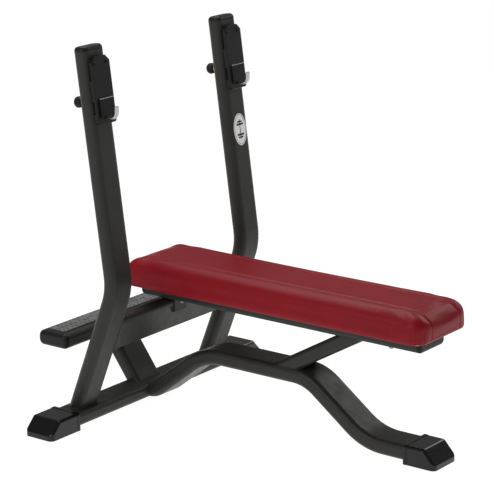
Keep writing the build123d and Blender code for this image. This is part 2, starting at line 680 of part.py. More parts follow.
def badge():
    """Blank oval badge on the left mast's face."""
    oval = extrude(Ellipse(BADGE_LENGTH / 2, BADGE_WIDTH / 2), BADGE_THICK)
    face = Plane(origin=(MAST_FRONT, 0, -BADGE_BELOW_PIN), x_dir=(0, 0, 1), z_dir=(1, 0, 0))
    return pin_frame(SIDES["left"]) * face * oval


def single_parts():
    """Parts that the bench has once."""
    return {
        "rear_crossbar": rear_crossbar(),
        "spine_tube": spine_tube(),
        "upright_beam": upright_beam(),
        "front_foot_cap": front_foot_cap(),
        "step_tube": step_tube(),
        "step_post": step_post(),
        "step_tread": step_tread(),
        "pad_rail": pad_rail(),
        "pad_rail_cap_head": rail_cap(RAIL_ROUTE[0][0], -1),
        "pad_rail_cap_foot": rail_cap(RAIL_ROUTE[1][0], 1),
        "rail_saddle": rail_saddle(),
        "front_brace": front_brace(),
        "pad_board": pad_board(),
        "pad_cushion": pad_cushion(),
        "pad_bolts": pad_bolts(),
        "pad_washers": pad_washers(),
        "pad_tee_nuts": pad_tee_nuts(),
        "badge": badge(),
    }


PAIRED_PARTS = {
    "upright": upright,
    "mast_cap": mast_cap,
    "rear_foot_cap": rear_foot_cap,
    "step_cap": step_cap,
    "hook_plate": hook_plate,
    "hook_screws": hook_screws,
    "hook_spacer": hook_spacer,
    "hook_block_upper": hook_block_upper,
    "hook_block_lower": hook_block_lower,
    "j_hook": j_hook,
    "hook_liner": hook_liner,
    "hook_lip": hook_lip,
    "pin_plunger": pin_plunger,
    "pin_sleeve": pin_sleeve,
    "pin_spring": pin_spring,
    "pin_knob": pin_knob,
}


def write_parts():
    """Write every part to its own STEP file."""
    os.makedirs("parts", exist_ok=True)
    parts = single_parts()
    for name, make in PAIRED_PARTS.items():
        for side_name, side in SIDES.items():
            parts[f"{name}_{side_name}"] = make(side)
    for name, part in parts.items():
        export_step(part, f"parts/{name}.step")


write_parts()
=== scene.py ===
import json
import math

import bmesh
import bpy
from mathutils import Matrix, Vector
from mathutils.bvhtree import BVHTree


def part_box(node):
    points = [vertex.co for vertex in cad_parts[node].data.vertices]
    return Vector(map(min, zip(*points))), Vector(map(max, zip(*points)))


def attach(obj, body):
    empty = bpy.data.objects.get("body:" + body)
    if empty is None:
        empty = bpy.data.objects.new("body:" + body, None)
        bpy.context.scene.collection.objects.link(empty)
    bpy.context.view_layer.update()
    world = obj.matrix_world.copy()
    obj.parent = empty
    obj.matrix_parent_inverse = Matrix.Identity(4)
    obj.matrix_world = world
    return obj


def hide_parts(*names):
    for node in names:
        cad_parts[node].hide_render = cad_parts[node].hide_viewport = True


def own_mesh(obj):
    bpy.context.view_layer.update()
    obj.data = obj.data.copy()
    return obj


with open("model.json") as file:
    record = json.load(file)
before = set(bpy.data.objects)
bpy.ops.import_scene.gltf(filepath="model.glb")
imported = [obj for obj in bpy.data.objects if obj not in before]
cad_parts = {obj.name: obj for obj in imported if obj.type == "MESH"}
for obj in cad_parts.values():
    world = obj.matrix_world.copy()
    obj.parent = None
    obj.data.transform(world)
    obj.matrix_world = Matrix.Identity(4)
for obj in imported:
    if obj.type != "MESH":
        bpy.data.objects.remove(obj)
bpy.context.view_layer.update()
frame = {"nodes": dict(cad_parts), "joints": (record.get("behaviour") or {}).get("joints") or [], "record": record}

MM = 0.001
SIDES = {"left": 1, "right": -1}


# ---------------------------------------------------------------- places read from the frame

def middle(node):
    """Centre of a CAD node's box."""
    low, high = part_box(node)
    return (low + high) / 2


def joint_axis(name):
    """Direction of a joint, as a unit vector."""
    for joint in frame["joints"]:
        if joint["name"] == name:
            return Vector(joint["axis"]).normalized()
    raise KeyError(name)


def mast_frame(side):
    """Matrix whose X is ahead of the mast, Y across and Z up it, centred on the pull pin's plunger."""
    up = joint_axis(f"hook_lift_{side}")
    ahead = -joint_axis(f"pin_pull_{side}")
    across = up.cross(ahead)
    turn = Matrix((ahead, across, up)).transposed().to_4x4()
    return Matrix.Translation(middle(f"pin_plunger_{side}")) @ turn


def local_span(node, matrix):
    """Lowest and highest corner of a CAD node in another frame."""
    inverse = matrix.inverted()
    corners = [inverse @ v.co for v in frame["nodes"][node].data.vertices]
    low = Vector([min(c[axis] for c in corners) for axis in range(3)])
    high = Vector([max(c[axis] for c in corners) for axis in range(3)])
    return low, high


# ---------------------------------------------------------------- camera, lights and floor

CAMERA_PLACE = Vector((4.072, -5.620, 2.500))
CAMERA_BACK = Vector((0.5725, -0.7748, 0.2681))          # from what it looks at, back to the camera
CAMERA_LENS = 166.0


def make_camera():
    """Long lens from the foot end, on the right, a little above the pad."""
    data = bpy.data.cameras.new("camera")
    data.lens = CAMERA_LENS
    camera = bpy.data.objects.new("camera", data)
    camera.location = CAMERA_PLACE
    camera.rotation_euler = (-CAMERA_BACK).to_track_quat("-Z", "Y").to_euler()
    bpy.context.scene.collection.objects.link(camera)
    bpy.context.scene.camera = camera


def area_light(name, place, size, power, aim):
    """Soft box at a place, facing a point."""
    data = bpy.data.lights.new(name, "AREA")
    data.shape = "RECTANGLE"
    data.size, data.size_y = size
    data.energy = power
    light = bpy.data.objects.new(name, data)
    light.location = place
    light.rotation_euler = (Vector(aim) - Vector(place)).to_track_quat("-Z", "Y").to_euler()
    bpy.context.scene.collection.objects.link(light)


FLOOR_HALF_SIZE = 30.0
FLOOR_BELOW = 0.3 * MM           # keeps the floor clear of the soles
FLOOR_GLOW = 0.97
FLOOR_ALBEDO = 0.16
FLOOR_ROUGHNESS = 0.9
WORLD_STRENGTH = 0.22
SOFT_BOXES = [                   # name, place, size, power, what it faces
    ("overhead", (-1.0, 0.6, 3.8), (2.6, 2.6), 78, (0.2, 0, 0.4)),
    ("near_side", (-0.6, -4.6, 2.8), (2.2, 1.6), 70, (0, 0, 0.6)),
    ("far_side", (0.6, 4.2, 2.6), (2.4, 1.2), 34, (0, 0, 0.6)),
]


def make_stage():
    """Pale glowing floor, dim surroundings and three soft boxes."""
    bm = bmesh.new()
    bmesh.ops.create_grid(bm, x_segments=1, y_segments=1, size=FLOOR_HALF_SIZE)
    bmesh.ops.translate(bm, vec=(0, 0, -FLOOR_BELOW), verts=bm.verts)
    floor = new_object("floor", bm)
    material = bpy.data.materials.new("stage_floor")
    material.use_nodes = True
    shader = material.node_tree.nodes["Principled BSDF"]
    shader.inputs["Base Color"].default_value = (FLOOR_ALBEDO, FLOOR_ALBEDO, FLOOR_ALBEDO, 1)
    shader.inputs["Roughness"].default_value = FLOOR_ROUGHNESS
    shader.inputs["Specular IOR Level"].default_value = 0.0
    shader.inputs["Emission Color"].default_value = (1, 1, 1, 1)
    shader.inputs["Emission Strength"].default_value = FLOOR_GLOW
    floor.data.materials.append(material)
    world = bpy.data.worlds.new("studio")
    world.use_nodes = True
    world.node_tree.nodes["Background"].inputs["Color"].default_value = (1, 1, 1, 1)
    world.node_tree.nodes["Background"].inputs["Strength"].default_value = WORLD_STRENGTH
    bpy.context.scene.world = world
    for light in SOFT_BOXES:
        area_light(*light)
    bpy.context.scene.view_settings.view_transform = "Standard"


# ---------------------------------------------------------------- mesh helpers

def new_object(name, bm):
    """Object at the origin, unturned, from a bmesh."""
    mesh = bpy.data.meshes.new(name)
    bm.to_mesh(mesh)
    bm.free()
    obj = bpy.data.objects.new(name, mesh)
    bpy.context.scene.collection.objects.link(obj)
    return obj


def smooth(obj, angle=35.0):
    """Shade smooth, with edges over the angle kept sharp."""
    mesh = obj.data
    mesh.polygons.foreach_set("use_smooth", [True] * len(mesh.polygons))
    bm = bmesh.new()
    bm.from_mesh(mesh)
    limit = math.radians(angle)
    for edge in bm.edges:
        edge.smooth = len(edge.link_faces) == 2 and edge.calc_face_angle(0) < limit
    bm.to_mesh(mesh)
    bm.free()
    return obj


def finish_piece(obj, body, material, replaced=()):
    """Material, body and the CAD nodes that a new piece stands for."""
    obj.data.materials.clear()
    obj.data.materials.append(material)
    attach(obj, body)
    if replaced:
        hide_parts(*replaced)
    return obj


def add_box(bm, low, high):
    """Plain box between two corners, as its new points."""
    verts = bmesh.ops.create_cube(bm, size=1.0)["verts"]
    bmesh.ops.scale(bm, vec=high - low, verts=verts)
    bmesh.ops.translate(bm, vec=(low + high) / 2, verts=verts)
    return verts


def round_edges(bm, edges, radius, segments):
    bmesh.ops.bevel(
        bm, geom=edges, offset=radius, segments=segments, affect="EDGES", profile=0.5, material=-1
    )


def edges_of(verts):
    """Edges at some points, each once and in the same order each run."""
    return list(dict.fromkeys(edge for vert in verts for edge in vert.link_edges))


def rounded_box(bm, low, high, radius, segments):
    """Box between two corners with every edge rounded."""
    verts = add_box(bm, Vector(low), Vector(high))
    edges = edges_of(verts)
    round_edges(bm, edges, radius, segments)


def new_ring(bm, sides, cap=False):
    """Circle of radius 1 about the Z axis, with a point on X, as its points and edges."""
    turn = Matrix.Rotation(math.radians(-90), 4, "Z")
    verts = bmesh.ops.create_circle(bm, cap_ends=cap, segments=sides, radius=1.0, matrix=turn)["verts"]
    return verts, edges_of(verts)


def next_ring(bm, edges):
    """Ring extruded from a ring of edges and still on it, as its points and edges."""
    made = bmesh.ops.extrude_edge_only(bm, edges=edges)["geom"]
    verts = [item for item in made if isinstance(item, bmesh.types.BMVert)]
    outer = [item for item in made if isinstance(item, bmesh.types.BMEdge) and item.is_boundary]
    return verts, outer


def sweep_ring(bm, sides, places):
    """Circle swept through some places and back to the first, as a closed tube."""
    verts, edges = new_ring(bm, sides)
    bmesh.ops.transform(bm, matrix=places[0], verts=verts)
    for place, following in zip(places, places[1:] + places[:1]):
        verts, edges = next_ring(bm, edges)
        bmesh.ops.transform(bm, matrix=following @ place.inverted(), verts=verts)
    close_surface(bm)


def close_surface(bm):
    """Merge doubles, then turn every face outwards."""
    bmesh.ops.remove_doubles(bm, verts=bm.verts, dist=0.02 * MM)
    bmesh.ops.recalc_face_normals(bm, faces=bm.faces)


# ---------------------------------------------------------------- materials

class Shader:
    """Small helper that wires nodes of one material together."""

    def __init__(self, name):
        self.material = bpy.data.materials.new(name)
        self.material.use_nodes = True
        self.tree = self.material.node_tree
        self.out = self.tree.nodes["Principled BSDF"]
        self.place = self.node("ShaderNodeTexCoord").outputs["Object"]

    def node(self, kind, **values):
        made = self.tree.nodes.new(kind)
        for key, value in values.items():
            setattr(made, key, value)
        return made

    def link(self, source, target):
        self.tree.links.new(source, target)

    def set(self, **values):
        for key, value in values.items():
            self.out.inputs[key.replace("_", " ")].default_value = value

    def stretched(self, scale):
        """Object coordinates scaled along each axis."""
        mapping = self.node("ShaderNodeMapping")
        mapping.inputs["Scale"].default_value = scale
        self.link(self.place, mapping.inputs["Vector"])
        return mapping.outputs["Vector"]

    def noise(self, scale, detail=3.0, roughness=0.55, at=None):
        """Noise texture, in cells per metre."""
        made = self.node("ShaderNodeTexNoise")
        made.inputs["Scale"].default_value = scale
        made.inputs["Detail"].default_value = detail
        made.inputs["Roughness"].default_value = roughness
        self.link(at or self.place, made.inputs["Vector"])
        return made.outputs["Fac"]

    def cells(self, scale, at=None, feature="F1"):
        """Voronoi distance, in cells per metre."""
        made = self.node("ShaderNodeTexVoronoi", feature=feature)
        made.inputs["Scale"].default_value = scale
        self.link(at or self.place, made.inputs["Vector"])
        return made.outputs["Distance"]

    def ramp(self, value, stops):
        """Colour ramp from (position, colour) stops."""
        made = self.node("ShaderNodeValToRGB")
        elements = made.color_ramp.elements
        while len(elements) < len(stops):
            elements.new(0.5)
        for element, (position, colour) in zip(elements, stops):
            element.position = position
            element.color = (*colour, 1)
        self.link(value, made.inputs["Fac"])
        return made.outputs["Color"]

    def span(self, value, low, high, start=0.0, end=1.0):
        """Value moved from start..end to low..high."""
        made = self.node("ShaderNodeMapRange")
        for key, number in (("From Min", start), ("From Max", end), ("To Min", low), ("To Max", high)):
            made.inputs[key].default_value = number
        self.link(value, made.inputs["Value"])
        return made.outputs["Result"]

    def sum(self, first, second, share=1.0):
        """First value plus a share of the second."""
        scaled = self.node("ShaderNodeMath", operation="MULTIPLY")
        self.link(second, scaled.inputs[0])
        scaled.inputs[1].default_value = share
        added = self.node("ShaderNodeMath", operation="ADD")
        self.link(first, added.inputs[0])
        self.link(scaled.outputs[0], added.inputs[1])
        return added.outputs[0]

    def colour(self, value):
        self.link(value, self.out.inputs["Base Color"])

    def rough(self, value):
        self.link(value, self.out.inputs["Roughness"])

    def bump(self, value, height, strength=1.0):
        """Bump of a height in metres."""
        made = self.node("ShaderNodeBump")
        made.inputs["Strength"].default_value = strength
        made.inputs["Distance"].default_value = height
        self.link(value, made.inputs["Height"])
        self.link(made.outputs["Normal"], self.out.inputs["Normal"])


def tinted(colour, factor):
    return tuple(channel * factor for channel in colour)


def powder_coat(name, colour, roughness=0.42, depth=0.00018, specular=0.24):
    """Baked powder paint: fine orange peel, faint cloudiness and a few dull rubbed patches."""
    s = Shader(name)
    cloud = s.noise(6.0, 4.0)
    s.colour(s.ramp(cloud, [(0.25, tinted(colour, 0.88)), (0.75, tinted(colour, 1.14))]))
    s.rough(s.span(s.noise(35.0, 5.0), roughness - 0.06, roughness + 0.08, 0.3, 0.7))
    peel = s.sum(s.noise(900.0, 2.0), s.noise(260.0, 2.0), 0.8)
    s.bump(peel, depth, 0.35)
    s.set(Specular_IOR_Level=specular)
    return s.material


def moulded(name, colour, roughness, grain=1400.0, depth=0.00012, coat=0.0):
    """Moulded plastic or rubber: fine spark grain, faint flow marks and dust."""
    s = Shader(name)
    flow = s.noise(18.0, 5.0, 0.6)
    s.colour(s.ramp(flow, [(0.3, tinted(colour, 0.8)), (0.7, tinted(colour, 1.35))]))
    s.rough(s.span(s.noise(60.0, 4.0), roughness - 0.05, roughness + 0.09, 0.3, 0.7))
    s.bump(s.noise(grain, 2.0), depth, 0.4)
    s.set(Specular_IOR_Level=0.22, Coat_Weight=coat, Coat_Roughness=0.10)
    return s.material


def plated(name, colour, roughness, streaks=(40.0, 900.0, 900.0)):
    """Plated metal with fine polishing streaks and faint clouding."""
    s = Shader(name)
    streak = s.noise(1.0, 3.0, 0.5, at=s.stretched(streaks))
    cloud = s.noise(70.0, 4.0)
    s.colour(s.ramp(cloud, [(0.3, tinted(colour, 0.9)), (0.7, colour)]))
    s.rough(s.span(s.sum(streak, cloud, 0.6), roughness * 0.6, roughness * 1.7, 0.5, 1.1))
    s.bump(streak, 0.00002, 0.25)
    s.set(Metallic=1.0)
    return s.material


def tread_metal(name, tone):
    """Dull aluminium, cloudy where shoes have rubbed it."""
    s = Shader(name)
    rubbed = s.noise(38.0, 6.0, 0.65)
    grey = (tone, tone, tone * 1.03)
    s.colour(s.ramp(rubbed, [(0.3, tinted(grey, 0.6)), (0.55, grey), (0.75, tinted(grey, 1.4))]))
    s.rough(s.span(s.noise(120.0, 4.0), 0.32, 0.55, 0.3, 0.7))
    s.bump(s.noise(1500.0, 3.0), 0.00012, 0.5)
    s.set(Metallic=0.85)
    return s.material


def leatherette():
    """Deep red vinyl with a pebbled grain, soft sheen and slight colour drift."""
    s = Shader("pad_leather")
    drift = s.noise(5.0, 3.0)
    s.colour(s.ramp(drift, [(0.3, (0.205, 0.0008, 0.0058)), (0.7, (0.250, 0.0012, 0.0080))]))
    warped = s.noise(500.0, 2.0)
    pebble = s.sum(s.cells(620.0, feature="SMOOTH_F1"), s.cells(1300.0), 0.35)
    s.rough(s.span(s.sum(pebble, s.noise(9.0, 4.0), 0.6), 0.30, 0.50, 0.2, 1.2))
    s.bump(s.sum(pebble, warped, 0.4), 0.00028, 0.5)
    s.set(Specular_IOR_Level=0.20, Coat_Weight=0.03, Coat_Roughness=0.25)
    return s.material


def plywood():
    """Birch ply: layered edges, long grain on the faces."""
    s = Shader("board_wood")
    layers = s.node("ShaderNodeTexWave", wave_type="BANDS", bands_direction="Z")
    layers.inputs["Scale"].default_value = 105.0
    layers.inputs["Distortion"].default_value = 0.6
    s.link(s.place, layers.inputs["Vector"])
    grain = s.noise(1.0, 6.0, 0.6, at=s.stretched((9.0, 240.0, 60.0)))
    mixed = s.sum(grain, layers.outputs["Fac"], 0.35)
    s.colour(s.ramp(mixed, [(0.35, (0.36, 0.235, 0.13)), (0.85, (0.60, 0.44, 0.27))]))
    s.rough(s.span(grain, 0.5, 0.75))
    s.bump(grain, 0.0002, 0.4)
    return s.material


def white_vinyl():
    """Glossy printed vinyl, nearly white."""
    s = Shader("badge_white")
    s.colour(s.ramp(s.noise(90.0, 3.0), [(0.3, (0.80, 0.80, 0.79)), (0.7, (0.90, 0.90, 0.89))]))
    s.rough(s.span(s.noise(300.0, 3.0), 0.18, 0.32, 0.3, 0.7))
    s.bump(s.noise(500.0, 2.0), 0.00004, 0.3)
    s.set(Coat_Weight=0.3, Coat_Roughness=0.1)
    return s.material


make_stage()
make_camera()

PAINT = powder_coat("frame_paint", (0.0245, 0.0245, 0.0215), 0.40)
PLATE = powder_coat("plate_paint", (0.0048, 0.0048, 0.0052), 0.34)
FOOT = moulded("foot_rubber", (0.0032, 0.0032, 0.0034), 0.20, 1100.0, 0.00006, 0.30)
CAP = moulded("cap_plastic", (0.0085, 0.0085, 0.0080), 0.40)
BLACK = moulded("black_plastic", (0.0045, 0.0045, 0.0045), 0.38)
OXIDE = moulded("black_screws", (0.010, 0.010, 0.010), 0.33, 2200.0)
CHROME = plated("hook_chrome", (0.50, 0.50, 0.50), 0.24)
BRASS = plated("pin_brass", (0.90, 0.60, 0.24), 0.40)
ZINC = plated("zinc_steel", (0.30, 0.30, 0.31), 0.32)
TREAD = tread_metal("tread_plate", 0.30)
# painted shade: the lugs get a darker copy of the tread metal, standing in for the shade on them
LUGS_PAINTED_SHADE = tread_metal("tread_lugs", 0.12)
LEATHER = leatherette()
WOOD = plywood()
VINYL = white_vinyl()

FINISHES = {
    "frame_paint": PAINT,
    "plate_paint": PLATE,
    "foot_rubber": FOOT,
    "cap_plastic": CAP,
    "black_plastic": BLACK,
    "black_screws": OXIDE,
    "hook_chrome": CHROME,
    "pin_brass": BRASS,
    "zinc_steel": ZINC,
    "tread_aluminium": TREAD,
    "pad_leather": LEATHER,
    "board_wood": WOOD,
    "badge_white": VINYL,
}


def paint_frame():
    """Every CAD node gets the finish of its slot."""
    for part in frame["record"]["subparts"]:
        mesh = frame["nodes"][part["node"]].data
        mesh.materials.clear()
        mesh.materials.append(FINISHES[part["material_slot"]])


# ---------------------------------------------------------------- pad

PAD_START_INSET = 4 * MM        # the pad swells to its size, so it starts smaller
PAD_CORNER = 46 * MM
PAD_ROUND = 42 * MM
PAD_SOLE_ROUND = 5 * MM
PAD_VOXEL = 6 * MM
PAD_MOST_MOVE = 5 * MM
PAD_HELD_HEIGHT = 20 * MM       # lower edge that the board holds
PAD_PRESSURE = 4.0
PAD_STEPS = 20                  # steps of the cloth simulation
COVER_STIFFNESS = 60
COVER_BENDING = 25
EASE_STEPS = 8
SEAM_FROM_MIDDLE = 78 * MM
SEAM_DEPTH = 3.6 * MM
SEAM_HALF_WIDTH = 6.5 * MM
STITCH_BESIDE = 8 * MM          # sewn line beside the seam
STITCH_DEPTH = 0.7 * MM
STITCH_HALF_WIDTH = 2 * MM
GATHER_DEPTH = 2.2 * MM
GATHER_HEIGHT = 62 * MM         # where the pleats have faded out
GATHER_ANGLES = (18, 36, 54, 72)
GATHER_HALF_ANGLE = 7.0
POCKET_MARGIN = 2 * MM          # the board's pocket stays inside the board's outline
POCKET_REACH = 3 * MM
POCKET_DEPTH = 4 * MM


def pad_block(low, high):
    """Rounded block of foam before it is covered."""
    bm = bmesh.new()
    add_box(bm, low, high)
    corners = [e for e in bm.edges if abs(e.verts[0].co.z - e.verts[1].co.z) > MM]
    round_edges(bm, corners, PAD_CORNER, 10)
    rims = [e for e in bm.edges if min(v.co.z for v in e.verts) > high.z - MM]
    round_edges(bm, rims, PAD_ROUND, 10)
    soles = [e for e in bm.edges if max(v.co.z for v in e.verts) < low.z + MM]
    round_edges(bm, soles, PAD_SOLE_ROUND, 4)
    return bm


def evaluated_copy(obj):
    """Mesh of an object with its modifiers applied."""
    bpy.context.view_layer.update()
    return bpy.data.meshes.new_from_object(obj.evaluated_get(bpy.context.evaluated_depsgraph_get()))


def bake_modifier(obj, kind, **values):
    """Add a modifier and keep its result as the mesh."""
    modifier = obj.modifiers.new(kind.lower(), kind)
    for key, value in values.items():
        setattr(modifier, key, value)
    mesh = evaluated_copy(obj)
    obj.modifiers.clear()
    obj.data = mesh


def swell(obj, low):
    """Cloth simulation: pressure fills the cover, the board holds its lower edge."""
    held = obj.vertex_groups.new(name="held")
    held.add([v.index for v in obj.data.vertices if v.co.z < low.z + PAD_HELD_HEIGHT], 1.0, "REPLACE")
    cloth = obj.modifiers.new("cover", "CLOTH")
    settings = cloth.settings
    settings.use_pressure = True
    settings.uniform_pressure_force = PAD_PRESSURE
    settings.vertex_group_mass = "held"
    settings.effector_weights.gravity = 0
    settings.tension_stiffness = COVER_STIFFNESS
    settings.compression_stiffness = COVER_STIFFNESS
    settings.bending_stiffness = COVER_BENDING
    for step in range(1, PAD_STEPS + 1):
        bpy.context.scene.frame_set(step)
    swollen = evaluated_copy(obj)
    obj.modifiers.remove(cloth)
    for vert, after in zip(obj.data.vertices, swollen.vertices):
        step = after.co - vert.co
        vert.co += step * min(1.0, PAD_MOST_MOVE / max(step.length, 1e-9))
    bpy.data.meshes.remove(swollen)
    bpy.context.scene.frame_set(1)
    ease(obj, low.z + PAD_HELD_HEIGHT)


def ease(obj, above):
    """Foam under the cover evens out its small creases."""
    bm = bmesh.new()
    bm.from_mesh(obj.data)
    free = [vert for vert in bm.verts if vert.co.z > above]
    for _ in range(EASE_STEPS):
        bmesh.ops.smooth_vert(
            bm, verts=free, factor=0.5, use_axis_x=True, use_axis_y=True, use_axis_z=True
        )
    bm.to_mesh(obj.data)
    bm.free()


def groove(distance, half_width):
    """1 at a seam's line, falling smoothly to 0 at its half width."""
    share = min(1.0, abs(distance) / half_width)
    return (1 - share * share) ** 2


def seam_press(place, normal):
    """How deep the long seams and the sewn lines beside them press the cover in."""
    if normal.z < 0.25 and abs(normal.x) < 0.5:
        return 0.0
    off = abs(place.y) - SEAM_FROM_MIDDLE
    depth = SEAM_DEPTH * (0.35 + 0.65 * max(0.0, normal.z) ** 2)
    stitch = STITCH_DEPTH * groove(off - STITCH_BESIDE, STITCH_HALF_WIDTH)
    return depth * groove(off, SEAM_HALF_WIDTH) + stitch


def gather_press(place, low, high):
    """How deep the pleats at the lower corners press the cover in, and towards where."""
    middle_x = (low.x + high.x) / 2
    end = high.x - PAD_CORNER if place.x > middle_x else low.x + PAD_CORNER
    side = math.copysign(high.y - PAD_CORNER, place.y)
    out = Vector((place.x - end, place.y - side, 0))
    if out.x * (place.x - middle_x) <= 0 or out.y * place.y <= 0:
        return Vector()
    angle = math.degrees(math.atan2(abs(out.y), abs(out.x)))
    fade = max(0.0, 1 - (place.z - low.z) / GATHER_HEIGHT)
    pleats = sum(groove(angle - at, GATHER_HALF_ANGLE) for at in GATHER_ANGLES)
    return -out.normalized() * GATHER_DEPTH * pleats * fade ** 0.7


def sew_pad(pad, low, high):
    """Press the seams and corner gathers into the swollen cover, and let the board into its underside."""
    mesh = pad.data
    moves = []
    for vert in mesh.vertices:
        move = -vert.normal * seam_press(vert.co, vert.normal)
        moves.append(move + gather_press(vert.co, low, high))
    board_low, board_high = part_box("pad_board")
    for vert, move in zip(mesh.vertices, moves):
        vert.co += move
        inside = (
            board_low.x + POCKET_MARGIN < vert.co.x < board_high.x - POCKET_MARGIN
            and abs(vert.co.y) < board_high.y - POCKET_MARGIN
        )
        if inside and vert.co.z < low.z + POCKET_REACH:
            vert.co.z = low.z + POCKET_DEPTH


def make_pad():
    """Cushion with a crowned top, two long sewn seams and gathered corners."""
    low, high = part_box("pad_cushion")
    inset = Vector((PAD_START_INSET, PAD_START_INSET, 0))
    start_high = high - inset - Vector((0, 0, PAD_START_INSET))
    pad = new_object("pad", pad_block(low + inset, start_high))
    bake_modifier(pad, "REMESH", mode="VOXEL", voxel_size=PAD_VOXEL, use_smooth_shade=True)
    swell(pad, low)
    bake_modifier(pad, "SUBSURF", levels=1, render_levels=1)
    sew_pad(pad, low, high)
    smooth(pad, 80)
    finish_piece(pad, "frame", LEATHER, ["pad_cushion"])


# ---------------------------------------------------------------- cover's turned edge under the board

FLAP_WIDTH = 30 * MM
FLAP_THICK = 0.9 * MM
FLAP_SUNK = 0.3 * MM            # how far a flap reaches into the board
FLAP_ROUND = 0.4 * MM
FLAP_OVERHANG = 2 * MM          # past the board's edge
FLAP_END_GAP = 26 * MM          # long flaps stop short of the board's ends
RAIL_CLEAR = 3 * MM
STAPLE_PITCH = 28 * MM
STAPLE_END_GAP = 40 * MM
STAPLE_SIZE = Vector((10 * MM, 1 * MM, 0.9 * MM))
STAPLE_STANDS = 0.7 * MM        # below the flap
STAPLE_ROUND = 0.3 * MM


def add_flap(bm, x_ends, y_ends, board_z):
    """Strip of cover folded onto the board's underside."""
    corner = (x_ends[0], min(y_ends), board_z - FLAP_THICK)
    far_corner = (x_ends[1], max(y_ends), board_z + FLAP_SUNK)
    rounded_box(bm, corner, far_corner, FLAP_ROUND, 2)


def add_staples(bm, x_ends, y, flap_z):
    """Row of staples along the middle of a long flap."""
    start = x_ends[0] + STAPLE_END_GAP
    length = x_ends[1] - x_ends[0] - 2 * STAPLE_END_GAP
    count = int(length / STAPLE_PITCH)
    for step in range(count + 1):
        x = start + step * length / count
        corner = Vector((x - STAPLE_SIZE.x / 2, y - STAPLE_SIZE.y / 2, flap_z - STAPLE_STANDS))
        rounded_box(bm, corner, corner + STAPLE_SIZE, STAPLE_ROUND, 1)


def make_cover_flaps():
    """Turned edge of the cover under the board, held with staples clear of the rail."""
    low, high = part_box("pad_board")
    rail_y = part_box("pad_rail")[1].y + RAIL_CLEAR
    bm = bmesh.new()
    staples = bmesh.new()
    x_ends = (low.x - FLAP_OVERHANG, high.x + FLAP_OVERHANG)
    for side in SIDES.values():
        y_ends = (side * (high.y + FLAP_OVERHANG), side * (high.y - FLAP_WIDTH))
        add_flap(bm, (x_ends[0] + FLAP_END_GAP, x_ends[1] - FLAP_END_GAP), y_ends, low.z)
        add_staples(staples, x_ends, sum(y_ends) / 2, low.z - FLAP_THICK)
    for short_ends in ((x_ends[0], low.x + FLAP_WIDTH), (high.x - FLAP_WIDTH, x_ends[1])):
        for side in SIDES.values():
            y_ends = (side * rail_y, side * (high.y - FLAP_WIDTH + FLAP_OVERHANG))
            add_flap(bm, short_ends, y_ends, low.z)
    finish_piece(smooth(new_object("pad_cover_flaps", bm)), "frame", LEATHER)
    finish_piece(smooth(new_object("pad_staples", staples)), "frame", ZINC)


# ---------------------------------------------------------------- welds

WELD_JOINTS = [
    ("upright_left", "rear_crossbar"),
    ("upright_right", "rear_crossbar"),
    ("spine_tube", "rear_crossbar"),
    ("upright_beam", "upright_left"),
    ("upright_beam", "upright_right"),
    ("step_post", "rear_crossbar"),
    ("step_post", "step_tube"),
    ("front_brace", "spine_tube"),
    ("front_brace", "pad_rail"),
    ("rail_saddle", "upright_beam"),
]
WELD_TOUCH = 0.4 * MM
WELD_STEP = 1.3 * MM
WELD_R = 2.3 * MM
WELD_SIDES = 8
WELD_RIPPLE = 0.16
WELD_PITCH = 4.2 * MM


def merged_copy(node):
    """Copy of a CAD node's mesh with its doubles merged."""
    bm = bmesh.new()
    bm.from_mesh(frame["nodes"][node].data)
    bmesh.ops.remove_doubles(bm, verts=bm.verts, dist=0.01 * MM)
    bmesh.ops.recalc_face_normals(bm, faces=bm.faces)
    return bm


def edge_loops(edges):
    """Loops of points that some edges make, longest first and in the same order each run."""
    links = {}
    for edge in edges:
        for vert, other in (edge.verts, reversed(edge.verts)):
            links.setdefault(vert, []).append(other)
    left = dict.fromkeys(vert for vert, others in links.items() if len(others) == 2)
    # a run that ends at a crossing is walked from its end, so that it comes out whole
    starts = sorted(left, key=lambda vert: all(other in left for other in links[vert]))
    loops = []
    for here in starts:
        if here not in left:
            continue
        loop = []
        while here:
            del left[here]
            loop.append(here.co.copy())
            here = next((other for other in links[here] if other in left), None)
        if len(loop) > 8:
            loops.append(loop)
    return sorted(loops, key=loop_length, reverse=True)


def loop_length(points):
    return sum((b - a).length for a, b in zip(points, points[1:] + points[:1]))


def even_points(points, step):
    """Points at an even distance round a closed loop."""
    total = loop_length(points)
    count = max(12, int(total / step))
    closed = points + points[:1]
    out = []
    index, walked = 0, 0.0
    for number in range(count):
        wanted = total * number / count
        while walked + (closed[index + 1] - closed[index]).length < wanted:
            walked += (closed[index + 1] - closed[index]).length
            index += 1
        span = (closed[index + 1] - closed[index]).length
        out.append(closed[index].lerp(closed[index + 1], (wanted - walked) / max(span, 1e-9)))
    return out


def add_bead(bm, points, surface):
    """Rippled bead swept round a closed loop that lies on a surface."""
    places = []
    for number, point in enumerate(points):
        ahead = (points[(number + 1) % len(points)] - points[number - 1]).normalized()
        normal = surface.find_nearest(point)[1]
        normal = (normal - ahead * normal.dot(ahead)).normalized()
        radius = WELD_R * (1 + WELD_RIPPLE * math.cos(math.tau * number * WELD_STEP / WELD_PITCH))
        turn = Matrix((normal, ahead.cross(normal), ahead)).transposed().to_4x4()
        places.append(Matrix.Translation(point) @ turn @ Matrix.Scale(radius, 4))
    sweep_ring(bm, WELD_SIDES, places)


def touching_faces(tube, surface):
    """Faces of a tube's end that lie on the other tube."""
    near = {vert: surface.find_nearest(vert.co)[3] < WELD_TOUCH for vert in tube.verts}
    ends = set()
    for face in tube.faces:
        touching = all(near[vert] for vert in face.verts)
        if touching and surface.find_nearest(face.calc_center_median())[3] < WELD_TOUCH:
            ends.add(face)
    return ends


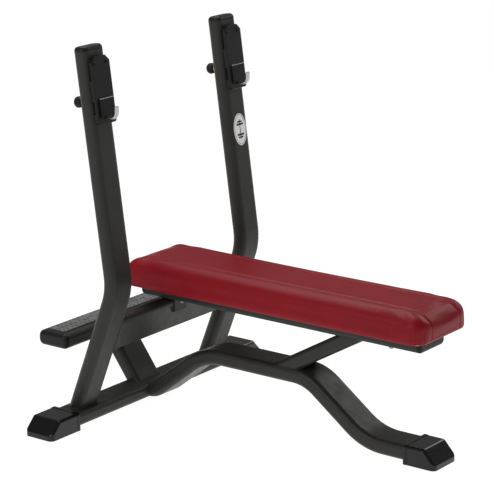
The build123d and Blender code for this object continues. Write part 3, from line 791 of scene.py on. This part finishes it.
def rim_edges(tube, ends):
    """Edges with one face in the tube's end and the other on its wall."""
    two_sided = [edge for edge in tube.edges if len(edge.link_faces) == 2]
    return [edge for edge in two_sided if (edge.link_faces[0] in ends) != (edge.link_faces[1] in ends)]


def make_welds():
    """A weld bead round each end where one tube is coped onto another."""
    for node, neighbour in WELD_JOINTS:
        tube = merged_copy(node)
        other = merged_copy(neighbour)
        surface = BVHTree.FromBMesh(other)
        loops = edge_loops(rim_edges(tube, touching_faces(tube, surface)))
        bm = bmesh.new()
        for loop in loops[:1]:
            add_bead(bm, even_points(loop, WELD_STEP), surface)
        tube.free()
        other.free()
        if len(bm.faces):
            bead = smooth(new_object(f"weld_{node}_{neighbour}", bm), 60)
            finish_piece(bead, "frame", PAINT)
        else:
            bm.free()


# ---------------------------------------------------------------- tread

LUG_LENGTH = 17 * MM
LUG_WIDTH = 5.5 * MM
LUG_HEIGHT = 1.7 * MM
LUG_SIDES = 14
LUG_PROFILE = [(1.0, -0.2), (0.72, 0.7), (0.35, 1.0)]    # share of its outline, share of its height
LUG_ROWS = 3
LUG_COLUMNS = 30
LUG_MARGIN = 11 * MM


def add_lug(bm, centre, angle):
    """Low pointed bar, as on chequer plate."""
    verts, edges = new_ring(bm, LUG_SIDES, cap=True)
    for vert in verts:
        vert.co.y *= abs(vert.co.y) ** 0.3
    size = Vector((LUG_LENGTH / 2, LUG_WIDTH / 2, 1))
    bmesh.ops.scale(bm, vec=size, verts=verts)
    bmesh.ops.rotate(bm, matrix=Matrix.Rotation(angle, 3, "Z"), verts=verts)
    bmesh.ops.translate(bm, vec=centre + Vector((0, 0, LUG_HEIGHT * LUG_PROFILE[0][1])), verts=verts)
    for (share, height), (next_share, next_height) in zip(LUG_PROFILE, LUG_PROFILE[1:]):
        verts, edges = next_ring(bm, edges)
        shrink = next_share / share
        bmesh.ops.scale(bm, vec=(shrink, shrink, 1), space=Matrix.Translation(-centre), verts=verts)
        bmesh.ops.translate(bm, vec=(0, 0, LUG_HEIGHT * (next_height - height)), verts=verts)
    bmesh.ops.holes_fill(bm, edges=edges, sides=LUG_SIDES)


def make_tread_lugs():
    """Raised bars on the step's tread, turned both ways by turns."""
    low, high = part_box("step_tread")
    bm = bmesh.new()
    for row in range(LUG_ROWS):
        x = low.x + LUG_MARGIN + (high.x - low.x - 2 * LUG_MARGIN) * row / (LUG_ROWS - 1)
        for column in range(LUG_COLUMNS):
            y = low.y + LUG_MARGIN + (high.y - low.y - 2 * LUG_MARGIN) * column / (LUG_COLUMNS - 1)
            angle = math.radians(45 if (row + column) % 2 else -45)
            add_lug(bm, Vector((x, y, high.z)), angle)
    bmesh.ops.recalc_face_normals(bm, faces=bm.faces)
    # the lugs wear the darker copy of the tread metal, which is painted shade
    finish_piece(smooth(new_object("tread_lugs", bm), 50), "frame", LUGS_PAINTED_SHADE)


# ---------------------------------------------------------------- badge print

PRINT_THICK = 0.25 * MM
PRINT_SUNK = 0.1 * MM           # how far the print reaches into the badge
PRINT_MARGIN = 3.5 * MM
RING_WIDTH = 1.3 * MM
RING_STEPS = 72
BARBELL_SIGN = [                # place along the badge, length, width, in mm
    (0, 66, 3.2),
    (-17, 6.5, 34),
    (17, 6.5, 34),
    (-25.5, 5, 25),
    (25.5, 5, 25),
]


def make_badge_print():
    """Thin dark ring and a plain barbell pictogram on the white badge."""
    place = mast_frame("left")
    low, high = local_span("badge", place)
    centre = (low + high) / 2
    front = high.x
    bm = bmesh.new()
    half_z = (high.z - low.z) / 2 - PRINT_MARGIN
    half_y = (high.y - low.y) / 2 - PRINT_MARGIN
    add_oval_ring(bm, Vector((front, centre.y, centre.z)), half_y, half_z)
    for along, length, width in BARBELL_SIGN:
        y, z = centre.y - width / 2 * MM, centre.z + (along - length / 2) * MM
        start = Vector((front - PRINT_SUNK, y, z))
        size = Vector((PRINT_THICK + PRINT_SUNK, width * MM, length * MM))
        rounded_box(bm, start, start + size, 0.1 * MM, 1)
    bmesh.ops.transform(bm, matrix=place, verts=bm.verts)
    finish_piece(smooth(new_object("badge_print", bm)), "frame", BLACK)


def add_oval_ring(bm, centre, half_y, half_z):
    """Flat closed ring in the Y-Z plane, standing a little out of the badge."""
    section = [(0, -PRINT_SUNK), (0, PRINT_THICK), (RING_WIDTH, PRINT_THICK), (RING_WIDTH, -PRINT_SUNK)]
    stand = Matrix(((0, 0, 1, 0), (1, 0, 0, 0), (0, 1, 0, 0), (0, 0, 0, 1)))
    places = []
    for inset, depth in section:
        spread = Matrix.Diagonal((half_y - inset, half_z - inset, 1, 1))
        places.append(Matrix.Translation(centre + Vector((depth, 0, 0))) @ stand @ spread)
    sweep_ring(bm, RING_STEPS, places)


# ---------------------------------------------------------------- pull knobs and springs

KNOB_FLUTES = 12
KNOB_FLUTE_DEPTH = 1.5 * MM
KNOB_SIDES = 8 * KNOB_FLUTES
KNOB_FLUTED_FROM = 0.8          # share of the radius where the flutes begin
KNOB_OUTLINE = [                # share of its length from the outer end, share of its radius
    (0.0, 0.30),
    (0.0, 0.62),
    (0.03, 0.72),
    (0.09, 0.84),
    (0.18, 0.94),
    (0.28, 1.0),
    (0.40, 1.0),
    (0.52, 0.98),
    (0.64, 0.92),
    (0.74, 0.82),
    (0.82, 0.70),
    (0.88, 0.62),
    (0.96, 0.60),
    (1.0, 0.58),
    (1.0, 0.30),
]


def make_knob(side):
    """Round fluted knob in place of the plain one."""
    node = f"pin_knob_{side}"
    place = mast_frame(side)
    low, high = local_span(node, place)
    length, radius = high.x - low.x, (high.z - low.z) / 2
    centre = (low + high) / 2
    bm = bmesh.new()
    outline = [bm.verts.new((along * length, share * radius, 0)) for along, share in KNOB_OUTLINE]
    edges = [bm.edges.new(pair) for pair in zip(outline, outline[1:])]
    bmesh.ops.spin(
        bm,
        geom=outline + edges,
        cent=(0, 0, 0),
        axis=(1, 0, 0),
        angle=math.tau,
        steps=KNOB_SIDES,
        use_merge=True,
    )
    bmesh.ops.holes_fill(bm, edges=[edge for edge in bm.edges if edge.is_boundary], sides=KNOB_SIDES)
    for vert in bm.verts:
        out = Vector((0, vert.co.y, vert.co.z))
        fluted = max(0.0, (out.length / radius - KNOB_FLUTED_FROM) / (1 - KNOB_FLUTED_FROM))
        turn = math.atan2(out.z, out.y)
        dip = max(0.0, math.cos(KNOB_FLUTES * turn)) ** 1.5 * KNOB_FLUTE_DEPTH * fluted
        vert.co -= out.normalized() * dip
    close_surface(bm)
    bmesh.ops.translate(bm, vec=(low.x, centre.y, centre.z), verts=bm.verts)
    bmesh.ops.transform(bm, matrix=place, verts=bm.verts)
    knob = smooth(new_object(f"fluted_knob_{side}", bm), 40)
    finish_piece(knob, f"pull_pin_{side}", BLACK, [node])


def make_spring(side):
    """Smooth-shaded copy of a pin's spring coil, fixed to the frame."""
    node = f"pin_spring_{side}"
    spring = smooth(new_object(f"coil_{side}", merged_copy(node)), 60)
    finish_piece(spring, "frame", ZINC, [node])
    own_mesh(spring)


paint_frame()
make_pad()
make_cover_flaps()
make_welds()
make_tread_lugs()
make_badge_print()
for side in SIDES:
    make_knob(side)
    make_spring(side)
